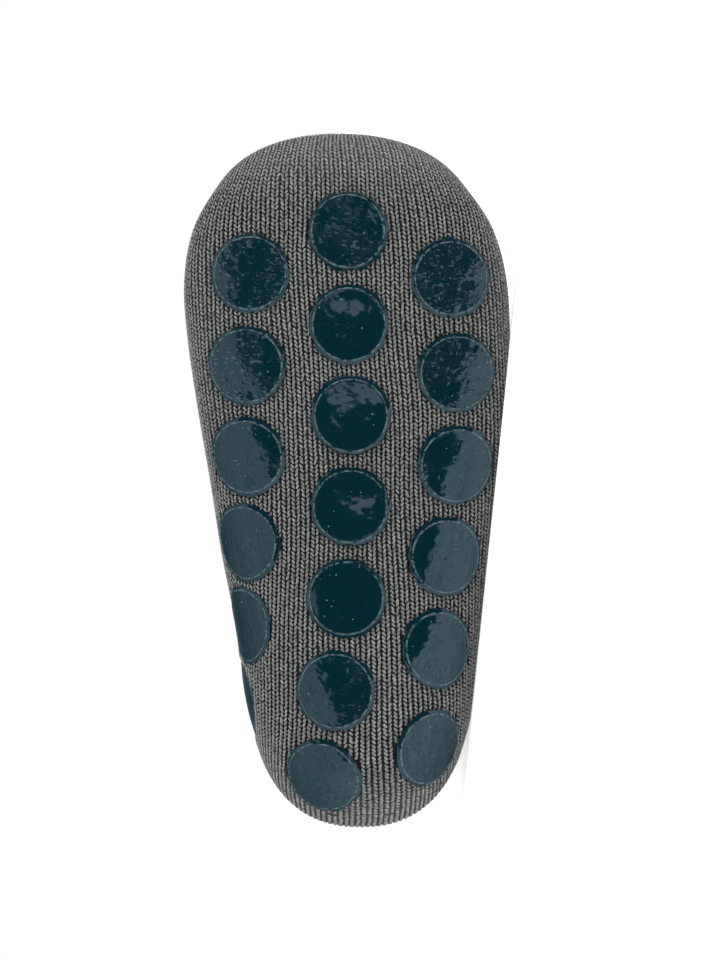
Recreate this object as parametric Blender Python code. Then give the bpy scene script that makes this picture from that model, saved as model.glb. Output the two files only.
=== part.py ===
"""A small child's slipper sock for the left foot: a knitted sock with silicone grip dots under its sole.

The sock is shaped as it stands on the foot, with x from heel to toe, y towards the outer side of the foot and
z up the leg. The empty resting_pose then lays it on its outer side, sole to the front.
"""

import math

import bmesh
import bpy
import numpy as np
from mathutils import Matrix

MM = 0.001

# The worn sock, measured outside
FOOT_LENGTH = 145.0 * MM
BALL_WIDTH = 67.0 * MM
HEEL_WIDTH = 50.0 * MM
LEG_WIDTH = 42.0 * MM
LEG_DEPTH = 57.0 * MM
INSTEP_HEIGHT = 50.0 * MM
LEG_HEIGHT = 104.0 * MM
WALL = 2.0 * MM

# The ribbed cuff, a thicker double layer at the top of the leg
CUFF_HEIGHT = 26.0 * MM
CUFF_STEP = 0.7 * MM
RIB_DEPTH = 0.5 * MM
CUFF_WALL = 2.8 * MM
RIM_ROUNDING = 0.9 * MM

# The linked seam that closes the toe
SEAM_WIDTH = 2.2 * MM
SEAM_HEIGHT = 0.9 * MM
SEAM_END_ROOM = 1.0 * MM
SEAM_END_THICKNESS = 0.45

# The silicone grip dots, and the bare knit between the rims of neighbours, in a column and across
GRIP_DIAMETER = 16.2 * MM
GRIP_HEIGHT = 1.1 * MM
GRIP_RIM_HEIGHT = 0.4 * MM
GRIP_BEVEL = 0.9 * MM
GRIP_SPACE = 3.0 * MM
COLUMN_SPACE = 5.6 * MM

# The fit between the pieces, and how far the foot's side and the cuff are pressed flat where the sock lies
SURFACE_GAP = 0.3 * MM
SIDE_PRESS = 0.6 * MM
CUFF_PRESS = 1.0 * MM

# Shares of FOOT_LENGTH: the ball lies in front of the first, the heel behind the second, and the leg's back
# is the third from the back of the heel
BALL_FROM = 0.65
HEEL_UP_TO = 0.25
LEG_BACK_SHARE = 0.041

# How finely the pieces are divided. A column is two wales wide, and each rib of the cuff has two columns
COLUMNS = 42
RINGS_PER_SECTION = 2
GRIP_SIDES = 20
SEAM_STEPS = 14
SEAM_SIDES = 8
GIRTH_SAMPLES = 181
SOLE_SAMPLES = 200
DISC_STEPS = 8
PLANE_ROUNDS = 12

# The cuff's step rises over this share of the way from the ankle section to the cuff
STEP_RUN = 0.08

# How far apart the places are that slopes compares, and how near the seam it goes, in shares of a section
NUDGE = 0.004
SEAM_ROOM = 0.05

# Sections of the foot from the toe seam to the front of the heel. x as a share of FOOT_LENGTH, z of
# INSTEP_HEIGHT, middle and width of BALL_WIDTH. belt is the height of the widest place as a share of the
# section, and under and over are how square its lower and upper halves are, from 2 for an ellipse upwards.
FOOT_SECTIONS = (
    # name          sole_x  sole_z  top_x  top_z  middle  width  belt  under  over
    ("toe_seam",    0.885,  0.450,  0.885, 0.450, -0.052, 0.470, 0.50, 2.0,   2.0),
    ("toe_over",    0.955,  0.400,  0.850, 0.486, -0.050, 0.560, 0.50, 2.0,   2.0),
    ("toe_nose",    0.994,  0.280,  0.827, 0.510, -0.048, 0.655, 0.50, 2.0,   2.0),
    ("toe_tip",     0.998,  0.165,  0.808, 0.530, -0.040, 0.745, 0.48, 2.15,  2.0),
    ("toe_under",   0.969,  0.064,  0.786, 0.548, -0.036, 0.835, 0.44, 2.15,  2.0),
    ("toe_root",    0.907,  0.024,  0.755, 0.580, -0.030, 0.945, 0.40, 2.4,   2.0),
    ("ball_front",  0.820,  0.008,  0.717, 0.620, -0.023, 1.002, 0.38, 2.7,   2.0),
    ("ball",        0.717,  0.000,  0.665, 0.680, -0.012, 0.998, 0.36, 2.8,   2.0),
    ("waist_front", 0.593,  0.016,  0.603, 0.770,  0.007, 0.970, 0.34, 2.7,   1.9),
    ("waist",       0.469,  0.032,  0.548, 0.880,  0.014, 0.910, 0.35, 2.3,   1.9),
    ("heel_front",  0.331,  0.020,  0.507, 1.000,  0.018, 0.850, 0.38, 2.05,  1.9),
)

# Sections of the heel and leg up to the cuff. back_x as a share of FOOT_LENGTH, back_z of the height of the
# cuff's lower edge. front_x is a share of FOOT_LENGTH in front of the leg, front_z a share of the way from
# INSTEP_HEIGHT to the cuff, and middle and width are shares of HEEL_WIDTH.
HEEL_SECTIONS = (
    # name          back_x  back_z  front_x front_z middle  width  belt  under  over
    ("heel_base",   0.193,  0.000,  0.045,  0.196,  0.030,  1.040, 0.38, 2.00, 1.9),
    ("heel_corner", 0.076,  0.040,  0.026,  0.320,  0.030,  0.980, 0.38, 2.05, 2.0),
    ("heel_back",   0.008,  0.160,  0.014,  0.430,  0.030,  0.900, 0.40, 2.3,  2.0),
    ("heel_top",    0.003,  0.346,  0.007,  0.530,  0.032,  0.845, 0.45, 2.3,  2.0),
)

# Sections of the leg and cuff. back_x as above, back_z and front_z as shares of the way up to the cuff or,
# from cuff_edge on, of CUFF_HEIGHT above it, depth of LEG_DEPTH, middle and width of LEG_WIDTH.
LEG_SECTIONS = (
    # name          back_x  back_z  depth   front_z middle  width  belt  under  over
    ("achilles",    0.024,  0.564,  1.045,  0.625,  0.043, 0.97,  0.50, 2.2,   2.1),
    ("ankle",       0.041,  0.770,  1.000,  0.750,  0.043, 0.96,  0.50, 2.1,   2.1),
)
CUFF_SECTIONS = (
    # name          back_x  rise    depth   middle  width  belt  under  over
    ("cuff_edge",   0.040,  0.000,  1.007,  0.043, 1.00,  0.50, 2.1,   2.1),
    ("cuff_middle", 0.036,  0.500,  1.030,  0.043, 1.04,  0.50, 2.1,   2.1),
    ("rim",         0.031,  1.000,  1.055,  0.043, 1.08,  0.50, 2.1,   2.1),
)

# Centres of the grip dots, printed in three columns on the flat sock. row counts the pitches of a column from
# the back of the heel, along the middle line of the sole, and side counts the pitches between columns from
# that line round the sock, to the inner side of the foot where it is negative.
GRIP_DOTS = (
    # name        row    side
    ("inner_1",  6.06, -0.92),
    ("inner_2",  5.04, -1.01),
    ("inner_3",  4.02, -1.06),
    ("inner_4",  2.96, -1.15),
    ("inner_5",  1.84, -1.34),
    ("inner_6",  0.49, -1.71),
    ("middle_1", 6.49,  0.03),
    ("middle_2", 5.48,  0.00),
    ("middle_3", 4.49, -0.04),
    ("middle_4", 3.50, -0.07),
    ("middle_5", 2.50, -0.12),
    ("middle_6", 1.48, -0.24),
    ("middle_7", 0.50, -0.37),
    ("outer_1",  6.01,  1.00),
    ("outer_2",  4.96,  1.00),
    ("outer_3",  3.93,  0.96),
    ("outer_4",  2.88,  0.86),
    ("outer_5",  1.80,  0.80),
    ("outer_6",  0.66,  0.74),
)

CUFF_BASE = LEG_HEIGHT - CUFF_HEIGHT
LEG_FRONT = LEG_BACK_SHARE * FOOT_LENGTH + LEG_DEPTH
GRIP_PITCH = GRIP_DIAMETER + GRIP_SPACE
COLUMN_PITCH = GRIP_DIAMETER + COLUMN_SPACE


def section_table():
    """All sections in metres, a row each: sole x, z, top x, z, middle, half width, belt, under and over."""
    rows = []
    for _, sole_x, sole_z, top_x, top_z, middle, width, *form in FOOT_SECTIONS:
        low = (sole_x * FOOT_LENGTH, sole_z * INSTEP_HEIGHT)
        high = (top_x * FOOT_LENGTH, top_z * INSTEP_HEIGHT)
        rows.append((*low, *high, middle * BALL_WIDTH, width * BALL_WIDTH / 2, *form))
    for _, back_x, back_z, front_x, front_z, middle, width, *form in HEEL_SECTIONS:
        low = (back_x * FOOT_LENGTH, back_z * CUFF_BASE)
        high = (LEG_FRONT + front_x * FOOT_LENGTH, between(INSTEP_HEIGHT, CUFF_BASE, front_z))
        rows.append((*low, *high, middle * HEEL_WIDTH, width * HEEL_WIDTH / 2, *form))
    for _, back_x, back_z, depth, front_z, middle, width, *form in LEG_SECTIONS:
        low = (back_x * FOOT_LENGTH, back_z * CUFF_BASE)
        high = (low[0] + depth * LEG_DEPTH, between(INSTEP_HEIGHT, CUFF_BASE, front_z))
        rows.append((*low, *high, middle * LEG_WIDTH, width * LEG_WIDTH / 2, *form))
    for _, back_x, rise, depth, middle, width, *form in CUFF_SECTIONS:
        low = (back_x * FOOT_LENGTH, CUFF_BASE + rise * CUFF_HEIGHT)
        high = (low[0] + depth * LEG_DEPTH, low[1])
        rows.append((*low, *high, middle * LEG_WIDTH, width * LEG_WIDTH / 2, *form))
    return np.array(rows)


def between(start, end, share):
    return start + share * (end - start)


SECTIONS = section_table()
LAST = len(SECTIONS) - 1
CUFF_START = LAST - len(CUFF_SECTIONS) + 1
SECTION_NAMES = [row[0] for row in FOOT_SECTIONS + HEEL_SECTIONS]
TOE_TIP = SECTION_NAMES.index("toe_tip")
HEEL_BACK = SECTION_NAMES.index("heel_back")


def section_at(v):
    """The section at place v along the sock, from 0 at the toe seam to LAST at the rim, on a smooth curve.

    Past the seam the sole line and the top line change places, so that the toe is smooth across it.
    """
    swapped = SECTIONS[1, [2, 3, 0, 1, 4, 5, 6, 7, 8]]
    beyond = 2 * SECTIONS[-1] - SECTIONS[-2]
    knots = np.vstack([swapped, SECTIONS, beyond])
    i = np.clip(np.floor(v).astype(int), 0, LAST - 1)
    t = (v - i)[:, None]
    p0, p1, p2, p3 = (knots[i + k] for k in range(4))
    bend = (2 * p0 - 5 * p1 + 4 * p2 - p3) * t**2 + (3 * p1 - p0 - 3 * p2 + p3) * t**3
    return p1 + ((p2 - p0) * t + bend) / 2


def skin(u, v):
    """Points of the sock's outside. u is the share of the girth, from the middle of the sole round the outer
    side of the foot, and v the place along the sock."""
    u, v = np.broadcast_arrays(np.asarray(u, float), np.asarray(v, float))
    shape = u.shape
    u, v = u.ravel() % 1, v.ravel()
    rows = section_at(v)
    turn = np.broadcast_to(np.linspace(0, 2 * math.pi, GIRTH_SAMPLES), (len(u), GIRTH_SAMPLES))
    coarse = section_points(rows, turn)
    step = np.linalg.norm(np.diff(coarse, axis=1), axis=2)
    run = np.concatenate([np.zeros((len(u), 1)), np.cumsum(step, axis=1)], axis=1)
    wanted = u * run[:, -1]
    k = np.clip((run <= wanted[:, None]).sum(1) - 1, 0, GIRTH_SAMPLES - 2)
    n = np.arange(len(u))
    share = (wanted - run[n, k]) / step[n, k]
    angle = turn[n, k] + share * (turn[0, 1] - turn[0, 0])
    return section_points(rows, angle[:, None])[:, 0].reshape(*shape, 3)


def section_points(rows, turn):
    """Points of each section at the angles turn: a superellipse with its own squareness above and below its
    widest place, drawn in the plane that holds the sole point and the top point."""
    sole_x, sole_z, top_x, top_z, middle, half, belt, under, over = (c[:, None] for c in rows.T)
    down, side = np.cos(turn), np.sin(turn)
    power = np.where(down > 0, under, over)
    reach = (abs(down) ** power + abs(side) ** power) ** (-1 / power)
    up = belt - reach * down * np.where(down > 0, belt, 1 - belt)
    x = sole_x + up * (top_x - sole_x)
    y = middle + half * reach * side
    z = sole_z + up * (top_z - sole_z)
    return np.stack([x, y, z], axis=2)


def slopes(u, v):
    """How the skin runs round the girth and along the sock, and which way it faces, at each place."""
    v = np.clip(v, SEAM_ROOM, LAST - NUDGE)
    around = (skin(u + NUDGE, v) - skin(u - NUDGE, v)) / (2 * NUDGE)
    along = (skin(u, v + NUDGE) - skin(u, v - NUDGE)) / (2 * NUDGE)
    out = np.cross(along, around)
    return around, along, out / np.linalg.norm(out, axis=-1, keepdims=True)


def girth(v):
    ring = skin(np.linspace(0, 1, GIRTH_SAMPLES), np.full(GIRTH_SAMPLES, v))
    return np.linalg.norm(np.diff(ring, axis=0), axis=1).sum()


def sock_grid():
    """Rings of points on the outside, from the seam to the rim, with the cuff's step and ribs on them."""
    v = np.linspace(0, LAST, LAST * RINGS_PER_SECTION + 1)
    v = np.sort(np.append(v, CUFF_START - STEP_RUN))
    u = np.arange(COLUMNS) / COLUMNS
    v, u = np.meshgrid(v, u, indexing="ij")
    points = skin(u, v)
    out = slopes(u, v)[2]
    on_cuff = (v >= CUFF_START)[..., None]
    groove = (np.arange(COLUMNS) % 2)[None, :, None]
    lift = np.where(on_cuff, CUFF_STEP - RIB_DEPTH * groove, 0.0)
    wall = np.where(on_cuff, CUFF_WALL, WALL)
    return points + lift * out, out, wall


def resting_plane(points):
    """The plane under the sock on its outer side: it touches the ball, the heel and the cuff. It returns the
    plane's outward normal and its distance."""
    x, z = points[:, 0], points[:, 2]
    on_ball = x > BALL_FROM * FOOT_LENGTH
    on_heel = (x < HEEL_UP_TO * FOOT_LENGTH) & (z < INSTEP_HEIGHT)
    on_cuff = z > CUFF_BASE
    normal = np.array([0.0, 1.0, 0.0])
    for _ in range(PLANE_ROUNDS):
        ball, heel, cuff = (furthest(points[zone], normal) for zone in (on_ball, on_heel, on_cuff))
        cuff = cuff - (CUFF_PRESS - SIDE_PRESS) * normal
        normal = np.cross(cuff - heel, ball - heel)
        normal /= np.linalg.norm(normal)
    return normal, ball @ normal - SIDE_PRESS


def furthest(points, direction):
    return points[np.argmax(points @ direction)]


def pressed(points, plane):
    """Points past the floor, moved back onto it: the soft knit lies flat there."""
    normal, distance = plane
    past = np.maximum(points @ normal - distance, 0.0)
    return points - past[..., None] * normal


def resting_matrix(plane, pieces):
    """Turns the standing sock onto its side: the plane becomes the floor, the toe points along +X, and the
    sole faces -Y. The middle of the lying sock's base goes to the origin."""
    normal, distance = plane
    up = -normal
    toe = np.array([1.0, 0.0, 0.0])
    toe = toe - (toe @ up) * up
    toe /= np.linalg.norm(toe)
    turn = np.array([toe, np.cross(up, toe), up])
    points = np.array([vertex.co for piece in pieces for vertex in piece.data.vertices])
    placed = points @ turn.T
    middle = (placed.min(0) + placed.max(0)) / 2
    shift = np.array([-middle[0], -middle[1], distance])
    matrix = np.eye(4)
    matrix[:3, :3], matrix[:3, 3] = turn, shift
    return Matrix(matrix.tolist())


def mesh_object(name, points, faces, material, pose, sharp=40):
    mesh = bpy.data.meshes.new(name)
    mesh.from_pydata([tuple(p) for p in points], [], faces)
    work = bmesh.new()
    work.from_mesh(mesh)
    bmesh.ops.recalc_face_normals(work, faces=work.faces[:])
    work.to_mesh(mesh)
    work.free()
    mesh.shade_smooth()
    mesh.set_sharp_from_angle(angle=math.radians(sharp))
    mesh.materials.append(material)
    made = bpy.data.objects.new(name, mesh)
    bpy.context.scene.collection.objects.link(made)
    made.parent = pose
    return made


def surface_material(name, colour, roughness):
    material = bpy.data.materials.new(name)
    material.use_nodes = True
    shader = material.node_tree.nodes["Principled BSDF"]
    shader.inputs["Base Color"].default_value = (*colour, 1.0)
    shader.inputs["Roughness"].default_value = roughness
    shader.inputs["Metallic"].default_value = 0.0
    return material


def strip_faces(first, second):
    """Faces between two closed rings of point numbers. Where two corners are one point, the face is a
    triangle."""
    faces = []
    for k in range(len(first)):
        n = (k + 1) % len(first)
        corners = (first[k], first[n], second[n], second[k])
        faces.append(list(dict.fromkeys(corners)))
    return [face for face in faces if len(face) > 2]


def knit_sock(outside, out, wall, material, pose):
    """The knitted sock: one hollow wall from the toe seam to the rim, open at the top."""
    rings = len(outside)
    inside = outside - wall * out
    last_out, last_in = outside[-1], inside[-1]
    rim = (last_out + last_in) / 2 + np.array([0.0, 0.0, RIM_ROUNDING])
    # At the seam the sole half and the top half of the ring are the same points.
    own = np.arange(COLUMNS)
    partner = (COLUMNS // 2 - own) % COLUMNS
    for layer in (outside, inside):
        layer[0] = (layer[0] + layer[0][partner]) / 2
    seam_point = np.minimum(own, partner)
    points = np.vstack([outside.reshape(-1, 3), inside.reshape(-1, 3), rim])
    start_in = rings * COLUMNS
    faces = []
    for start in (0, start_in):
        numbers = [start + r * COLUMNS + own for r in range(rings)]
        numbers[0] = start + seam_point
        for r in range(rings - 1):
            faces += strip_faces(numbers[r], numbers[r + 1])
    crown = 2 * start_in + own
    faces += strip_faces(start_in - COLUMNS + own, crown)
    faces += strip_faces(crown, 2 * start_in - COLUMNS + own)
    used = sorted({int(n) for face in faces for n in face})
    renumber = {n: i for i, n in enumerate(used)}
    faces = [[renumber[int(n)] for n in face] for face in faces]
    return mesh_object("knit_sock", points[used], faces, material, pose)


def disc_on_skin(u, v, radius):
    """Rings of places round a centre on the skin, at equal steps up to radius, measured along the surface."""
    around, along, out = (s[0] for s in slopes(np.array([u]), np.array([v])))
    first = along / np.linalg.norm(along)
    second = np.cross(out, first)
    angles = np.arange(GRIP_SIDES) * 2 * math.pi / GRIP_SIDES
    heading = np.cos(angles)[:, None] * first + np.sin(angles)[:, None] * second
    us, vs = np.full(GRIP_SIDES, float(u)), np.full(GRIP_SIDES, float(v))
    step = radius / DISC_STEPS
    places = [(us, vs)]
    for _ in range(DISC_STEPS):
        around, along, out = slopes(us, vs)
        heading = heading - (heading * out).sum(1, keepdims=True) * out
        heading /= np.linalg.norm(heading, axis=1, keepdims=True)
        aa, ab, bb = (around * around).sum(1), (around * along).sum(1), (along * along).sum(1)
        ha, hb = (heading * around).sum(1) * step, (heading * along).sum(1) * step
        solve = aa * bb - ab * ab
        us = us + (ha * bb - hb * ab) / solve
        vs = vs + (hb * aa - ha * ab) / solve
        places.append((us, vs))
    return places


def place_on_sole(along, across):
    """The girth share and the place along the sock of a point printed on the sole, from its distance along
    the middle line of the sole and its distance round the sock from that line."""
    v = np.linspace(TOE_TIP, HEEL_BACK, SOLE_SAMPLES)
    sole_x = section_at(v)[:, 0]
    place = float(np.interp(-along, -sole_x, v))
    return across / girth(place), place


def fits_sole(row):
    """Whether a dot in this row ends before the tip of the toe."""
    return row * GRIP_PITCH + GRIP_DIAMETER / 2 <= SECTIONS[TOE_TIP, 0]


def grip_dot(name, row, side, material, pose):
    """A round silicone pad that follows the sole, with a bevelled edge."""
    radius = GRIP_DIAMETER / 2
    places = disc_on_skin(*place_on_sole(row * GRIP_PITCH, side * COLUMN_PITCH), radius)
    half, rim = DISC_STEPS // 2, DISC_STEPS
    top_place = DISC_STEPS * (1 - GRIP_BEVEL / radius)
    low = int(top_place)
    share = top_place - low
    top_rim = tuple(between(places[low][k], places[low + 1][k], share) for k in range(2))
    shoulder = SURFACE_GAP + GRIP_RIM_HEIGHT
    crown = SURFACE_GAP + GRIP_HEIGHT
    layers = (
        (places[half], SURFACE_GAP),
        (places[rim], SURFACE_GAP),
        (places[rim], shoulder),
        (top_rim, crown),
        (places[half], crown),
    )
    rings = [lifted(us, vs, height) for (us, vs), height in layers]
    middle_u, middle_v = places[0][0][:1], places[0][1][:1]
    ends = [lifted(middle_u, middle_v, height) for height in (SURFACE_GAP, crown)]
    points = np.vstack([*rings, *ends])
    own = np.arange(GRIP_SIDES)
    faces = []
    for r in range(len(rings) - 1):
        faces += strip_faces(r * GRIP_SIDES + own, (r + 1) * GRIP_SIDES + own)
    bottom_middle = len(rings) * GRIP_SIDES
    for ring, centre in ((0, bottom_middle), (len(rings) - 1, bottom_middle + 1)):
        for k in own:
            faces.append((ring * GRIP_SIDES + k, ring * GRIP_SIDES + (k + 1) % GRIP_SIDES, centre))
    faces = [[int(n) for n in face] for face in faces]
    return mesh_object(f"grip_dot_{name}", points, faces, material, pose)


def lifted(u, v, height):
    return skin(u, v) + height * slopes(u, v)[2]


def toe_seam(material, pose):
    """The raised line of linking stitches across the top of the toe, tapered at both ends."""
    half_width = SECTIONS[0, 5]
    reach = 0.25 * (1 - SEAM_END_ROOM / half_width)
    u = np.linspace(-reach, reach, SEAM_STEPS)
    path = skin(u, np.zeros(SEAM_STEPS))
    out = slopes(u, np.zeros(SEAM_STEPS))[2]
    forward = np.gradient(path, axis=0)
    forward /= np.linalg.norm(forward, axis=1, keepdims=True)
    side = np.cross(out, forward)
    taper = np.maximum(np.sqrt(1 - np.linspace(-1, 1, SEAM_STEPS) ** 6), SEAM_END_THICKNESS)
    angles = np.arange(SEAM_SIDES) * 2 * math.pi / SEAM_SIDES
    wide = np.cos(angles)[None, :, None] * (SEAM_WIDTH / 2 * taper)[:, None, None]
    tall = (1 + np.sin(angles))[None, :, None] * (SEAM_HEIGHT / 2 * taper)[:, None, None]
    points = path[:, None] + side[:, None] * wide + out[:, None] * (SURFACE_GAP + tall)
    own = np.arange(SEAM_SIDES)
    faces = []
    for r in range(SEAM_STEPS - 1):
        faces += strip_faces(r * SEAM_SIDES + own, (r + 1) * SEAM_SIDES + own)
    faces += [list(own), list((SEAM_STEPS - 1) * SEAM_SIDES + own)]
    faces = [[int(n) for n in face] for face in faces]
    return mesh_object("toe_seam", points.reshape(-1, 3), faces, material, pose)


def main():
    for old in list(bpy.data.objects):
        bpy.data.objects.remove(old)
    yarn = surface_material("grey_knit", (0.13, 0.13, 0.127), 0.9)
    thread = surface_material("seam_yarn", (0.12, 0.12, 0.117), 0.9)
    silicone = surface_material("petrol_silicone", (0.0018, 0.019, 0.029), 0.2)
    outside, out, wall = sock_grid()
    plane = resting_plane(outside.reshape(-1, 3))
    pose = bpy.data.objects.new("resting_pose", None)
    bpy.context.scene.collection.objects.link(pose)
    pieces = [
        knit_sock(pressed(outside, plane), out, wall, yarn, pose),
        toe_seam(thread, pose),
    ]
    for name, row, side in GRIP_DOTS:
        if fits_sole(row):
            pieces.append(grip_dot(name, row, side, silicone, pose))
    pose.matrix_world = resting_matrix(plane, pieces)


main()
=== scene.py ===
# A small child's slipper sock for the left foot, in grey melange jersey with round silicone grip dots.
# It lies on its outer side, as packed, and the camera looks straight at its sole.
# The knit is real stitches: two short legs of yarn for each loop, laid over a thin lining.

import math

import bpy
import numpy as np
from mathutils import Matrix, Vector


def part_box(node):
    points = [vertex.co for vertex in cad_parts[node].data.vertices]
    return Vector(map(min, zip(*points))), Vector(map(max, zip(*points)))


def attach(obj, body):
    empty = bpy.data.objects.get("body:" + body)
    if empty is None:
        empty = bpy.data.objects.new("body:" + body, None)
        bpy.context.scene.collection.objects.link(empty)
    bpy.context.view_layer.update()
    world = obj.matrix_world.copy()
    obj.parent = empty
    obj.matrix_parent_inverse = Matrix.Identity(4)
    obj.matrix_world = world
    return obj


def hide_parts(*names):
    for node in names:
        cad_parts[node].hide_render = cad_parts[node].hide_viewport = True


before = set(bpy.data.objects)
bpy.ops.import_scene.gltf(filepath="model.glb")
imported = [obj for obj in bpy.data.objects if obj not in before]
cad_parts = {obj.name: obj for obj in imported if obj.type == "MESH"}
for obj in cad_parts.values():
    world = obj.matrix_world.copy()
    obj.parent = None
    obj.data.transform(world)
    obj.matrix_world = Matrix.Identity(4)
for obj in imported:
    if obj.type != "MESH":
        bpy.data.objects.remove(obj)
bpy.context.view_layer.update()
mm = 0.001
rng = np.random.default_rng(7)  # one seeded source, so that each run is the same

# The worn sock's sizes, the same as the part's
sock = {
    "footLength": 145 * mm,
    "ballWidth": 67 * mm,
    "heelWidth": 50 * mm,
    "legWidth": 42 * mm,
    "legDepth": 57 * mm,
    "instepHeight": 50 * mm,
    "legHeight": 104 * mm,
    "wall": 2.0 * mm,
    "cuffHeight": 26 * mm,
    "cuffStep": 0.7 * mm,  # the cuff stands this far out of the leg
    "ribDepth": 0.5 * mm,
    "cuffWall": 2.8 * mm,
    "rimRounding": 0.9 * mm,
    "sidePress": 0.6 * mm,  # how far the foot's side is pressed flat by the floor
    "cuffPress": 1.0 * mm,
    "ballFrom": 0.65,  # shares of footLength
    "heelUpTo": 0.25,
    "legBack": 0.041,
    "columns": 42,  # a column is two wales wide
    "stepRun": 0.08,  # share of a section in which the cuff's step rises
    "girthSamples": 181,  # places round a section between which its girth is measured
    "soleSamples": 200,
    "planeRounds": 12,  # tries after which the resting plane no longer moves
}

# x as a share of footLength, z of instepHeight, middle and width of ballWidth
footSections = (
    # sole x  sole z  top x  top z  middle  width  belt  under  over
    (0.885, 0.450, 0.885, 0.450, -0.052, 0.470, 0.50, 2.0, 2.0),  # toe seam
    (0.955, 0.400, 0.850, 0.486, -0.050, 0.560, 0.50, 2.0, 2.0),
    (0.994, 0.280, 0.827, 0.510, -0.048, 0.655, 0.50, 2.0, 2.0),
    (0.998, 0.165, 0.808, 0.530, -0.040, 0.745, 0.48, 2.15, 2.0),  # tip of the toe
    (0.969, 0.064, 0.786, 0.548, -0.036, 0.835, 0.44, 2.15, 2.0),
    (0.907, 0.024, 0.755, 0.580, -0.030, 0.945, 0.40, 2.4, 2.0),
    (0.820, 0.008, 0.717, 0.620, -0.023, 1.002, 0.38, 2.7, 2.0),
    (0.717, 0.000, 0.665, 0.680, -0.012, 0.998, 0.36, 2.8, 2.0),  # ball
    (0.593, 0.016, 0.603, 0.770, 0.007, 0.970, 0.34, 2.7, 1.9),
    (0.469, 0.032, 0.548, 0.880, 0.014, 0.910, 0.35, 2.3, 1.9),  # waist
    (0.331, 0.020, 0.507, 1.000, 0.018, 0.850, 0.38, 2.05, 1.9),
)
# back x as a share of footLength, back z of the height of the cuff's base, front x is how far in front of the
# leg, also of footLength, front z the share of the way up from the instep, middle and width of heelWidth
heelSections = (
    # back x  back z  front x  front z  middle  width  belt  under  over
    (0.193, 0.000, 0.045, 0.196, 0.030, 1.040, 0.38, 2.00, 1.9),
    (0.076, 0.040, 0.026, 0.320, 0.030, 0.980, 0.38, 2.05, 2.0),
    (0.008, 0.160, 0.014, 0.430, 0.030, 0.900, 0.40, 2.3, 2.0),  # back of the heel
    (0.003, 0.346, 0.007, 0.530, 0.032, 0.845, 0.45, 2.3, 2.0),
)
# depth as a share of legDepth, middle and width of legWidth
legSections = (
    # back x  back z  depth  front z  middle  width  belt  under  over
    (0.024, 0.564, 1.045, 0.625, 0.043, 0.97, 0.50, 2.2, 2.1),
    (0.041, 0.770, 1.000, 0.750, 0.043, 0.96, 0.50, 2.1, 2.1),
)
cuffSections = (
    # back x  rise  depth  middle  width  belt  under  over
    (0.040, 0.0, 1.007, 0.043, 1.00, 0.50, 2.1, 2.1),
    (0.036, 0.5, 1.030, 0.043, 1.04, 0.50, 2.1, 2.1),
    (0.031, 1.0, 1.055, 0.043, 1.08, 0.50, 2.1, 2.1),  # rim
)


# All sections in metres: sole x, z, top x, z, middle, half width, belt and the two squarenesses
def sectionTable():
    length, instep = sock["footLength"], sock["instepHeight"]
    cuffBase = sock["legHeight"] - sock["cuffHeight"]
    legFront = sock["legBack"] * length + sock["legDepth"]
    rows = []
    for soleX, soleZ, topX, topZ, middle, width, *form in footSections:
        across = (middle * sock["ballWidth"], width * sock["ballWidth"] / 2)
        rows.append((soleX * length, soleZ * instep, topX * length, topZ * instep, *across, *form))
    for backX, backZ, frontX, frontZ, middle, width, *form in heelSections:
        across = (middle * sock["heelWidth"], width * sock["heelWidth"] / 2)
        high = (legFront + frontX * length, instep + frontZ * (cuffBase - instep))
        rows.append((backX * length, backZ * cuffBase, *high, *across, *form))
    for backX, backZ, depth, frontZ, middle, width, *form in legSections:
        across = (middle * sock["legWidth"], width * sock["legWidth"] / 2)
        high = (backX * length + depth * sock["legDepth"], instep + frontZ * (cuffBase - instep))
        rows.append((backX * length, backZ * cuffBase, *high, *across, *form))
    for backX, rise, depth, middle, width, *form in cuffSections:
        across = (middle * sock["legWidth"], width * sock["legWidth"] / 2)
        z = cuffBase + rise * sock["cuffHeight"]
        rows.append((backX * length, z, backX * length + depth * sock["legDepth"], z, *across, *form))
    return np.array(rows)


sections = sectionTable()
rim = len(sections) - 1  # v runs from 0 at the toe seam to here
cuffStart = rim - len(cuffSections) + 1
toeTip, waist, heelBack = 3, 9, 13  # rows of the tables
nudge = 0.004  # how far from a place its neighbours are that slopes compares
seamRoom = 0.05  # nearer to the closed toe the skin has no clear slope


# The section at v: a Catmull-Rom curve through the rows, the sole and top lines swapped past the seam
def sectionAt(v):
    swapped = sections[1, [2, 3, 0, 1, 4, 5, 6, 7, 8]]
    knots = np.vstack([swapped, sections, 2 * sections[-1] - sections[-2]])
    i = np.clip(np.floor(v).astype(int), 0, rim - 1)
    t = (v - i)[:, None]
    p0, p1, p2, p3 = (knots[i + k] for k in range(4))
    bend = (2 * p0 - 5 * p1 + 4 * p2 - p3) * t**2 + (3 * p1 - p0 - 3 * p2 + p3) * t**3
    return p1 + ((p2 - p0) * t + bend) / 2


# A superellipse, |cos|^n + |sin|^n = 1, with its own power n above and below its widest place
def sectionPoints(rows, turn):
    soleX, soleZ, topX, topZ, middle, half, belt, under, over = (c[:, None] for c in rows.T)
    down, side = np.cos(turn), np.sin(turn)
    power = np.where(down > 0, under, over)
    reach = (abs(down) ** power + abs(side) ** power) ** (-1 / power)
    up = belt - reach * down * np.where(down > 0, belt, 1 - belt)
    x = soleX + up * (topX - soleX)
    return np.stack([x, middle + half * reach * side, soleZ + up * (topZ - soleZ)], axis=2)


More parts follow.
